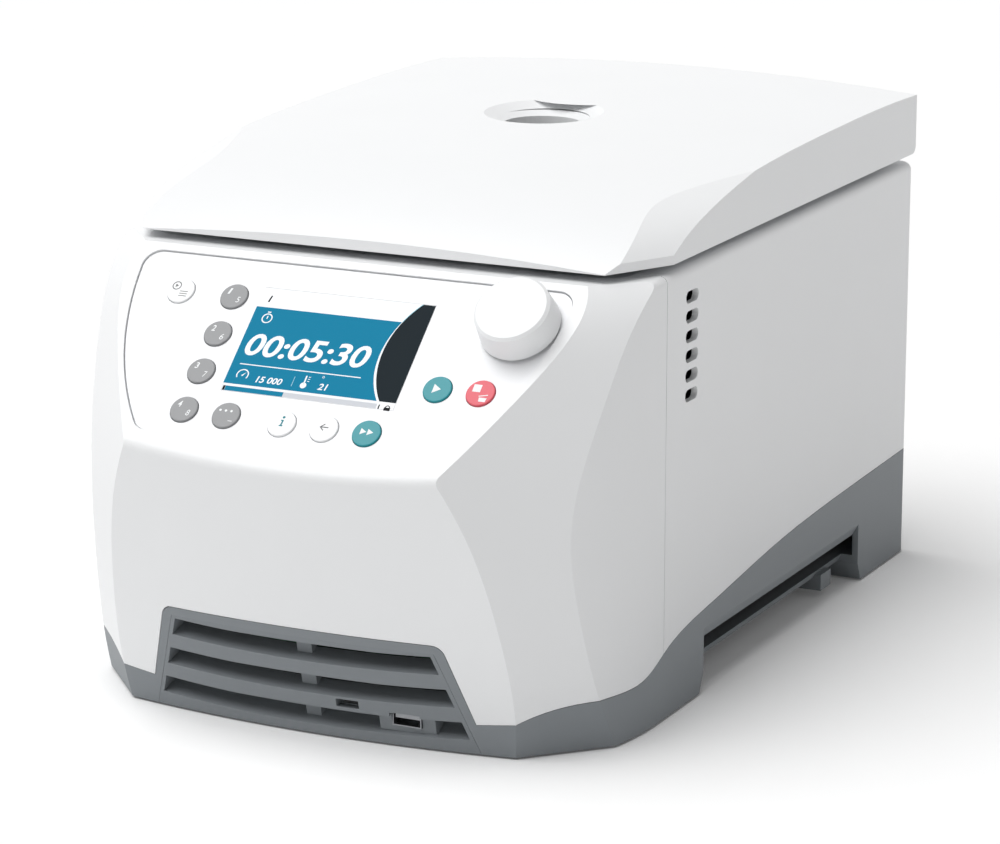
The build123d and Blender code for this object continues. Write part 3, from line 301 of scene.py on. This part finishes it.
def film_ring(centre, radius, width, height, start=0.0, sweep=360.0, steps=40):
    """A thin ring or part of one: angle runs along it and half the width lies to each side."""
    angle = np.radians(np.linspace(start, start + sweep, steps))
    near, far = radius - width / 2, radius + width / 2
    section = [(near, 0), (far, 0), (far, FILM), (near, FILM)]
    loops = [
        on_panel(centre[0] + reach * np.cos(angle), centre[1] - reach * np.sin(angle), height + rise)
        for reach, rise in section
    ]
    points = np.stack(loops, 1).reshape(-1, 3)
    at = np.arange(steps - 1)[:, None] * 4
    side = np.arange(4)[None, :]
    turn = (side + 1) % 4
    faces = np.stack([at + side, at + turn, at + 4 + turn, at + 4 + side], 2).reshape(-1, 4).tolist()
    if sweep < 360.0:
        last = 4 * steps
        faces += [[3, 2, 1, 0], [last - 4, last - 3, last - 2, last - 1]]
    return points, faces


def face_outwards(piece):
    """Merges doubles and turns every face of a closed piece outwards."""
    work = bmesh.new()
    work.from_mesh(piece.data)
    bmesh.ops.remove_doubles(work, verts=work.verts, dist=1e-7)
    bmesh.ops.recalc_face_normals(work, faces=work.faces)
    work.to_mesh(piece.data)
    work.free()


def riding_piece(name, mesh, finish, body):
    """Makes a mesh a piece of the scene, in a finish, riding on a body."""
    mesh.materials.clear()
    mesh.materials.append(finish)
    piece = bpy.data.objects.new(name, mesh)
    bpy.context.scene.collection.objects.link(piece)
    face_outwards(piece)
    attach(piece, body)


def printed_piece(name, films, finish, body):
    """Joins films into one piece in a finish, riding on a body."""
    points, faces, start = [], [], 0
    for film_points, film_faces in films:
        points.append(film_points)
        faces += [[corner + start for corner in face] for face in film_faces]
        start += len(film_points)
    mesh = bpy.data.meshes.new(name)
    mesh.from_pydata(np.concatenate(points).tolist(), [], faces)
    riding_piece(name, mesh, finish, body)


def picture(name, films, finish):
    """A printed piece of the display's picture."""
    printed_piece(name, films, finish, "housing")


SLANT = 0.16


def numerals(name, text, box, finish, body, height, weight=0.02):
    """Plain numerals made a thin solid, slanted by moving each point across by a share of its
    height in the letter, and fitted to a box (left, right, top, foot)."""
    letters = bpy.data.curves.new(name, "FONT")
    letters.body = text
    letters.offset = weight
    letters.extrude = 0.5
    letters.resolution_u = 5
    drawn = bpy.data.objects.new(name + "_drawn", letters)
    bpy.context.scene.collection.objects.link(drawn)
    bpy.context.view_layer.update()
    mesh = bpy.data.meshes.new_from_object(drawn)
    bpy.data.objects.remove(drawn)
    flat = np.zeros(len(mesh.vertices) * 3)
    mesh.vertices.foreach_get("co", flat)
    points = flat.reshape(-1, 3)
    points[:, 0] += SLANT * points[:, 1]
    low, high = points.min(0), points.max(0)
    share = (points - low) / (high - low)
    left, right, top, foot = box
    across = left + share[:, 0] * (right - left)
    down = foot + share[:, 1] * (top - foot)
    mesh.vertices.foreach_set("co", on_panel(across, down, height + share[:, 2] * FILM).ravel())
    riding_piece(name, mesh, finish, body)


def reading(name, text, box):
    """White numerals on the display."""
    numerals(name, text, box, picture_white, "housing", READING)


# The picture's fields: a white header, the blue field under it and the dark end on the right
down_all = np.linspace(SCREEN_TOP, FIELD_FOOT, 41)
down_head = np.linspace(SCREEN_TOP, FIELD_TOP, 13)
down_field = np.linspace(FIELD_TOP, FIELD_FOOT, 33)
head_edge = arc_edge(down_head)
field_edge = arc_edge(down_field)
picture("picture_header", [film_band(SCREEN_LEFT, head_edge, down_head, GLASS_TOP)], picture_white)
picture("picture_field", [film_band(SCREEN_LEFT, field_edge, down_field, GLASS_TOP)], picture_blue)
picture("picture_end", [film_band(arc_edge(down_all), SCREEN_RIGHT, down_all, GLASS_TOP)], picture_dark)

# Thin lines: along the dark end, growing wider downwards, under the clock and between readings
line_width = EDGE_THIN + EDGE_GROWTH * np.clip((down_field - FIELD_TOP) / EDGE_GROWS_OVER, 0, 1)
picture("picture_edge", [
    film_band(field_edge - line_width, field_edge, down_field, READING),
    film_band(-36.9, 22.1, span(53.45, 0.5), READING),
], picture_white)
picture("picture_rim", [
    film_band(head_edge - EDGE_THIN, head_edge + 0.1, down_head, READING),
    film_band(-8.55, -8.25, span(57.0, 5.0), READING),
], picture_haze)

# The bar that fills, with a pause mark before it and a small padlock behind it
bar = np.array([BAR_TOP, BAR_FOOT])
picture("picture_bar_done", [film_band(BAR_LEFT, BAR_FULL_TO, bar, GLASS_TOP)], picture_blue)
picture("picture_bar_left", [film_band(BAR_FULL_TO, BAR_RIGHT, bar, GLASS_TOP)], picture_pale)
picture("picture_marks", [
    film_band(-40.2, -39.1, bar, GLASS_TOP),
    film_band(35.5, 36.1, span(65.8, 2.2), GLASS_TOP),
    film_band(38.4, 41.4, span(66.9, 1.6), GLASS_TOP),
    film_ring((39.9, 66.9), 0.95, 0.4, GLASS_TOP, sweep=180.0, steps=16),
], picture_black)

# Signs beside the readings: a stopwatch, a turning arrow, a thermometer and a degree ring
STOPWATCH = (-33.5, 29.1)
TURNING_ARROW = (-33.4, 59.2)
THERMOMETER_X = -3.0
picture("picture_icons", [
    film_ring(STOPWATCH, 2.3, 0.55, READING),
    film_band(STOPWATCH[0] - 0.8, STOPWATCH[0] + 0.8, span(25.5, 0.6), READING),
    film_band(STOPWATCH[0] - 0.25, STOPWATCH[0] + 0.25, span(27.8, 1.6), READING),
    film_ring(TURNING_ARROW, 2.7, 0.55, READING, start=-35.0, sweep=250.0, steps=32),
    film_outline([(-33.9, 59.5), (-32.0, 57.8), (-33.3, 60.0)], READING),
    film_ring((THERMOMETER_X, 60.9), 0.75, 1.49, READING),
    film_band(THERMOMETER_X - 0.35, THERMOMETER_X + 0.35, span(55.9, 4.5), READING),
    *[
        film_band(THERMOMETER_X + 1.1, THERMOMETER_X + 2.1, span(56.3 + 1.1 * step, 0.3), READING)
        for step in range(3)
    ],
    film_ring((4.9, 55.6), 0.45, 0.22, READING),
], picture_white)
reading("clock_numerals", "00:05:30", (-37.7, 22.3, 37.4, 49.0))
reading("speed_numerals", "15 000", (-26.0, -13.4, 58.9, 62.2))
reading("heat_numerals", "21", (4.2, 8.7, 58.9, 62.2))
numerals("header_numeral", "1", (-36.6, -35.2, 17.2, 20.6), picture_black, "housing", READING)

# Buttons
# Eleven round caps stand just proud of the fascia and press in on the board behind. Each is
# moulded in its own colour and printed with a plain numeral or a plain sign.
button_grey = moulded_plastic("button_grey", paint(141, 142, 144), 0.42)
button_white = moulded_plastic("button_white", paint(246, 247, 248), 0.38)
button_teal = moulded_plastic("button_teal", paint(0, 139, 149), 0.4)
button_red = moulded_plastic("button_red", paint(220, 84, 98), 0.4)
ink_white = moulded_plastic("ink_white", paint(240, 242, 243), 0.5)
ink_grey = moulded_plastic("ink_grey", paint(92, 94, 97), 0.5)
ink_teal = moulded_plastic("ink_teal", paint(0, 120, 132), 0.5)
dress(button_grey, *[f"button_program_{number}" for number in range(1, 5)], "button_more")
dress(button_white, "button_menu", "button_info", "button_back")
dress(button_teal, "button_start", "button_fast")
dress(button_red, "button_stop")
CAP_TOP = panel_height("button_start") + FILM_LIFT
PROGRAMS = 4


def triangle(across, down, reach, half_high):
    """The outline of a triangle that points to the right, from the middle of its upright side."""
    return [(across, down - half_high), (across + reach, down), (across, down + half_high)]


def around(across, down, outline):
    """An outline given from a button's middle, moved to its place on the panel."""
    return [(across + x, down + y) for x, y in outline]


for number in range(1, PROGRAMS + 1):
    body = f"button_program_{number}"
    x, y = panel_middle(body)
    first_box = (x - 3.6, x - 1.7, y - 3.9, y - 0.8)
    second_box = (x + 1.9, x + 3.7, y + 0.2, y + 3.2)
    numerals(f"numeral_{number}", str(number), first_box, ink_white, body, CAP_TOP)
    numerals(f"numeral_{number + PROGRAMS}", str(number + PROGRAMS), second_box, ink_white, body,
             CAP_TOP, weight=0.0)

x, y = panel_middle("button_more")
printed_piece("sign_more", [
    *[film_ring((x - 3.4 + 2.7 * step, y - 2.2), 0.3, 0.59, CAP_TOP) for step in range(3)],
    film_band(x + 2.1, x + 4.1, span(y + 2.6, 0.3), CAP_TOP),
], ink_white, "button_more")

x, y = panel_middle("button_menu")
printed_piece("sign_menu", [
    film_ring((x - 2.7, y - 2.2), 2.0, 0.45, CAP_TOP),
    film_outline(triangle(x - 3.3, y - 2.2, 1.5, 0.9), CAP_TOP),
    *[film_band(x - 0.1, x + 3.8, span(y + 0.3 + 1.2 * step, 0.35), CAP_TOP) for step in range(3)],
], ink_grey, "button_menu")

x, y = panel_middle("button_info")
printed_piece("sign_info", [
    film_ring((x + 0.2, y - 3.0), 0.32, 0.63, CAP_TOP),
    film_outline(around(x, y, [
        (-0.6, -1.7), (0.7, -1.7), (0.5, 1.0), (1.0, 1.0), (0.9, 1.6),
        (-0.8, 1.6), (-0.7, 1.0), (-0.3, 1.0), (-0.1, -1.1), (-0.7, -1.1),
    ]), CAP_TOP),
], ink_teal, "button_info")

x, y = panel_middle("button_back")
printed_piece("sign_back", [
    film_outline(around(x, y, [
        (-2.1, -0.6), (-0.1, -2.4), (0.2, -2.0), (-1.1, -0.85), (2.1, -0.85),
        (2.1, -0.35), (-1.1, -0.35), (0.2, 0.8), (-0.1, 1.2),
    ]), CAP_TOP),
], ink_grey, "button_back")

x, y = panel_middle("button_fast")
printed_piece("sign_fast", [
    film_outline(triangle(x - 2.9 + 3.3 * step, y - 0.5, 2.8, 1.6), CAP_TOP) for step in range(2)
], ink_white, "button_fast")

x, y = panel_middle("button_start")
printed_piece("sign_start", [
    film_outline(triangle(x - 1.9, y, 3.7, 2.3), CAP_TOP),
], ink_white, "button_start")

x, y = panel_middle("button_stop")
printed_piece("sign_stop", [
    film_outline(around(x, y, [(-3.9, -3.9), (-0.2, -3.9), (-0.2, -0.2), (-3.9, -0.2)]), CAP_TOP),
    film_outline(around(x, y, [(0.3, 2.4), (3.9, 2.4), (3.6, 4.4), (0.6, 4.4)]), CAP_TOP),
    film_outline(around(x, y, [(-0.1, 1.6), (3.9, 0.6), (4.0, 1.0), (0.0, 2.0)]), CAP_TOP),
], ink_white, "button_stop")

# Knob
# One plain white knob turns and pushes. It sits on the steel shaft of an encoder soldered to
# the control board, which also carries the switches under the button caps.
knob_white = moulded_plastic("knob_white", paint(240, 241, 242), 0.36)
bright_steel = sheet_metal("bright_steel", paint(190, 192, 195), 0.22)
board_green = moulded_plastic("board_green", paint(38, 92, 62), 0.5, spread=0.08)
dress(knob_white, "control_knob")
dress(bright_steel, "knob_shaft")
dress(socket_black, "knob_encoder")
dress(board_green, "control_board", "power_board")


# Lid
# The lid is an outer shell in the casings' white over an inner pan in light grey. A clear
# porthole lets a hand tachometer look at the rotor, and two steel hooks hang from its front.
def clear_plastic(name, colour, roughness):
    """Clear plastic or glass: light goes through, with a slight haze across it."""
    finish, tree, shader, place = new_finish(name)
    tree.links.new(mottle(tree, place, colour, 0.01, 0.03), shader.inputs["Base Color"])
    shader.inputs["Transmission Weight"].default_value = 1.0
    shader.inputs["Roughness"].default_value = roughness
    shader.inputs["IOR"].default_value = 1.49
    return finish


lid_white = moulded_plastic("lid_white", paint(243, 244, 245), 0.36)
pan_grey = moulded_plastic("pan_grey", paint(196, 199, 202), 0.5)
port_grey = moulded_plastic("port_grey", paint(150, 153, 156), 0.4)
window_clear = clear_plastic("window_clear", paint(206, 214, 218), 0.03)
dress(lid_white, "lid_shell")
dress(pan_grey, "lid_inner")
dress(window_clear, "lid_window")
dress(port_grey, "lid_window_ring")
dress(bright_steel, "lid_hooks", "lid_arms")

# Hinge
# The arms of the lid turn on one long steel pin, which two steel ears hold at the back.
dark_steel = sheet_metal("dark_steel", paint(112, 114, 117), 0.38)
dress(dark_steel, "hinge_ears")
dress(bright_steel, "hinge_pin")

# Deck, seal and bowl
# Under the lid a light-grey deck frames the stainless bowl. A black rubber seal lies on the
# bowl's rim, and a heavy steel guard ring stands round it inside the housing.
shaft = corners("motor_shaft")
AXIS_Y = round((shaft[:, 1].min() + shaft[:, 1].max()) / 2, 4)


def turned_metal(name, colour, roughness, ring_size):
    """Metal turned on a lathe: noise read along the distance from the rotor's axis gives fine
    rings in its roughness and height."""
    finish, tree, shader, place = new_finish(name)
    centre = tree.nodes.new("ShaderNodeMapping")
    centre.inputs["Location"].default_value = (0.0, -AXIS_Y, 0.0)
    tree.links.new(place, centre.inputs["Vector"])
    part = tree.nodes.new("ShaderNodeSeparateXYZ")
    tree.links.new(centre.outputs["Vector"], part.inputs["Vector"])
    plan = tree.nodes.new("ShaderNodeCombineXYZ")
    tree.links.new(part.outputs["X"], plan.inputs["X"])
    tree.links.new(part.outputs["Y"], plan.inputs["Y"])
    distance = tree.nodes.new("ShaderNodeVectorMath")
    distance.operation = "LENGTH"
    tree.links.new(plan.outputs["Vector"], distance.inputs[0])
    across = tree.nodes.new("ShaderNodeCombineXYZ")
    tree.links.new(distance.outputs["Value"], across.inputs["X"])
    tree.links.new(part.outputs["Z"], across.inputs["Y"])
    rings = soft_noise(tree, across.outputs["Vector"], ring_size, 3.0)
    vary_roughness(tree, shader, rings, roughness, 0.3)
    relief(tree, shader, rings, 0.25, 0.00004)
    tree.links.new(mottle(tree, place, colour, 0.03, 0.03), shader.inputs["Base Color"])
    shader.inputs["Metallic"].default_value = 1.0
    return finish


deck_grey = moulded_plastic("deck_grey", paint(214, 216, 218), 0.45)
bowl_steel = turned_metal("bowl_steel", paint(184, 186, 188), 0.3, 0.0012)
dress(deck_grey, "top_deck")
dress(rubber_black, "bowl_seal", "motor_dampers")
dress(bowl_steel, "bowl")
dress(dark_steel, "guard_ring")

# Rotor
# A turned aluminium rotor with slanted tube bores sits on the drive cone. A thin lid covers
# it, held by a black hand nut.
rotor_metal = turned_metal("rotor_metal", paint(120, 124, 130), 0.34, 0.0009)
rotor_lid_metal = turned_metal("rotor_lid_metal", paint(205, 207, 209), 0.28, 0.0009)
nut_black = moulded_plastic("nut_black", paint(34, 35, 38), 0.42, spread=0.04)
dress(rotor_metal, "rotor")
dress(rotor_lid_metal, "rotor_lid")
dress(nut_black, "rotor_nut")

# Lid lock
# Two steel bolts slide back into the hooks. Each runs in a black moulded housing under the
# deck.
dress(socket_black, "lock_housings")
dress(bright_steel, "lock_bolt_left", "lock_bolt_right")

# Frame and motor
# A steel plate on four posts carries the motor on rubber dampers. None of it shows from
# outside.
zinc = sheet_metal("zinc", paint(168, 171, 174), 0.4)
motor_black = moulded_plastic("motor_black", paint(48, 50, 54), 0.5, spread=0.05)
dress(zinc, "frame_plate", "frame_posts")
dress(motor_black, "motor")
dress(bright_steel, "motor_shaft")

# Back panel
# The back carries an outlet grille with a fan behind it, the mains inlet and the mains rocker
# switch, all moulded in black but for the grille.
dress(socket_black, "fan_frame", "fan_rotor", "power_inlet", "switch_frame", "power_switch")
dress(casing_white, "rear_grille")

# Studio
# A wide pale floor, one very soft sun from overhead and a little to the left, and an even
# pale sky. The floor throws light back on the upright faces and keeps the shadow.
FLOOR_HALF = 12.0
FLOOR_WHITE = 0.95
FLOOR_LIFT = 0.05
SKY_LEVEL = 0.25
SKY_SEEN = 1.0
floor_corners = [
    (-FLOOR_HALF, -FLOOR_HALF, 0), (FLOOR_HALF, -FLOOR_HALF, 0),
    (FLOOR_HALF, FLOOR_HALF, 0), (-FLOOR_HALF, FLOOR_HALF, 0),
]
floor_mesh = bpy.data.meshes.new("floor")
floor_mesh.from_pydata(floor_corners, [], [(0, 1, 2, 3)])
floor = bpy.data.objects.new("floor", floor_mesh)
bpy.context.scene.collection.objects.link(floor)
floor_finish = bpy.data.materials.new("floor_pale")
floor_finish.use_nodes = True
floor_tree = floor_finish.node_tree
floor_shader = floor_tree.nodes["Principled BSDF"]
floor_shader.inputs["Base Color"].default_value = (FLOOR_WHITE, FLOOR_WHITE, FLOOR_WHITE, 1.0)
floor_shader.inputs["Roughness"].default_value = 0.9
floor_shader.inputs["Specular IOR Level"].default_value = 0.0
floor_shader.inputs["Emission Color"].default_value = (1.0, 1.0, 1.0, 1.0)
seen = floor_tree.nodes.new("ShaderNodeLightPath")
lift = floor_tree.nodes.new("ShaderNodeMath")
lift.operation = "MULTIPLY"
lift.inputs[1].default_value = FLOOR_LIFT
floor_tree.links.new(seen.outputs["Is Camera Ray"], lift.inputs[0])
floor_tree.links.new(lift.outputs["Value"], floor_shader.inputs["Emission Strength"])
floor_mesh.materials.append(floor_finish)

# The sky is brighter to the camera, in mirrors and through glass than it lights the object
sky = bpy.data.worlds.new("sky")
bpy.context.scene.world = sky
sky.use_nodes = True
sky_tree = sky.node_tree
sky_light = sky_tree.nodes["Background"]
sky_light.inputs["Color"].default_value = (1.0, 1.0, 1.0, 1.0)
path = sky_tree.nodes.new("ShaderNodeLightPath")
mirrored = sky_tree.nodes.new("ShaderNodeMath")
mirrored.operation = "MAXIMUM"
sky_tree.links.new(path.outputs["Is Glossy Ray"], mirrored.inputs[0])
sky_tree.links.new(path.outputs["Is Transmission Ray"], mirrored.inputs[1])
watched = sky_tree.nodes.new("ShaderNodeMath")
watched.operation = "MAXIMUM"
sky_tree.links.new(mirrored.outputs["Value"], watched.inputs[0])
sky_tree.links.new(path.outputs["Is Camera Ray"], watched.inputs[1])
level = sky_tree.nodes.new("ShaderNodeMapRange")
level.inputs["To Min"].default_value = SKY_LEVEL
level.inputs["To Max"].default_value = SKY_SEEN
sky_tree.links.new(watched.outputs["Value"], level.inputs["Value"])
sky_tree.links.new(level.outputs["Result"], sky_light.inputs["Strength"])


def soft_sun(name, direction, spread, strength):
    """A sun lamp shining from a direction, softened by its angle, at a strength where 1 lights
    a facing white surface to white."""
    lamp = bpy.data.lights.new(name, "SUN")
    lamp.angle = math.radians(spread)
    lamp.energy = strength * math.pi
    holder = bpy.data.objects.new(name, lamp)
    holder.rotation_euler = Vector(direction).to_track_quat("Z", "Y").to_euler()
    bpy.context.scene.collection.objects.link(holder)


soft_sun("overhead_left", (-0.30, -0.25, 0.92), 60.0, 0.82)

# Camera
# The photograph's viewpoint, found from the housing's symmetric corners.
LENS = 140.6
CAMERA_PLACE = (0.78687, -1.58896, 0.5530)
CAMERA_TILT = math.radians(75.652)
CAMERA_TURN = math.radians(26.211)
camera_data = bpy.data.cameras.new("camera")
camera_data.sensor_width = 36.0
camera_data.lens = LENS
camera_data.clip_end = 30.0
camera = bpy.data.objects.new("camera", camera_data)
camera.location = CAMERA_PLACE
camera.rotation_euler = (CAMERA_TILT, 0.0, CAMERA_TURN)
bpy.context.scene.collection.objects.link(camera)
bpy.context.scene.camera = camera
bpy.context.scene.view_settings.view_transform = "Standard"
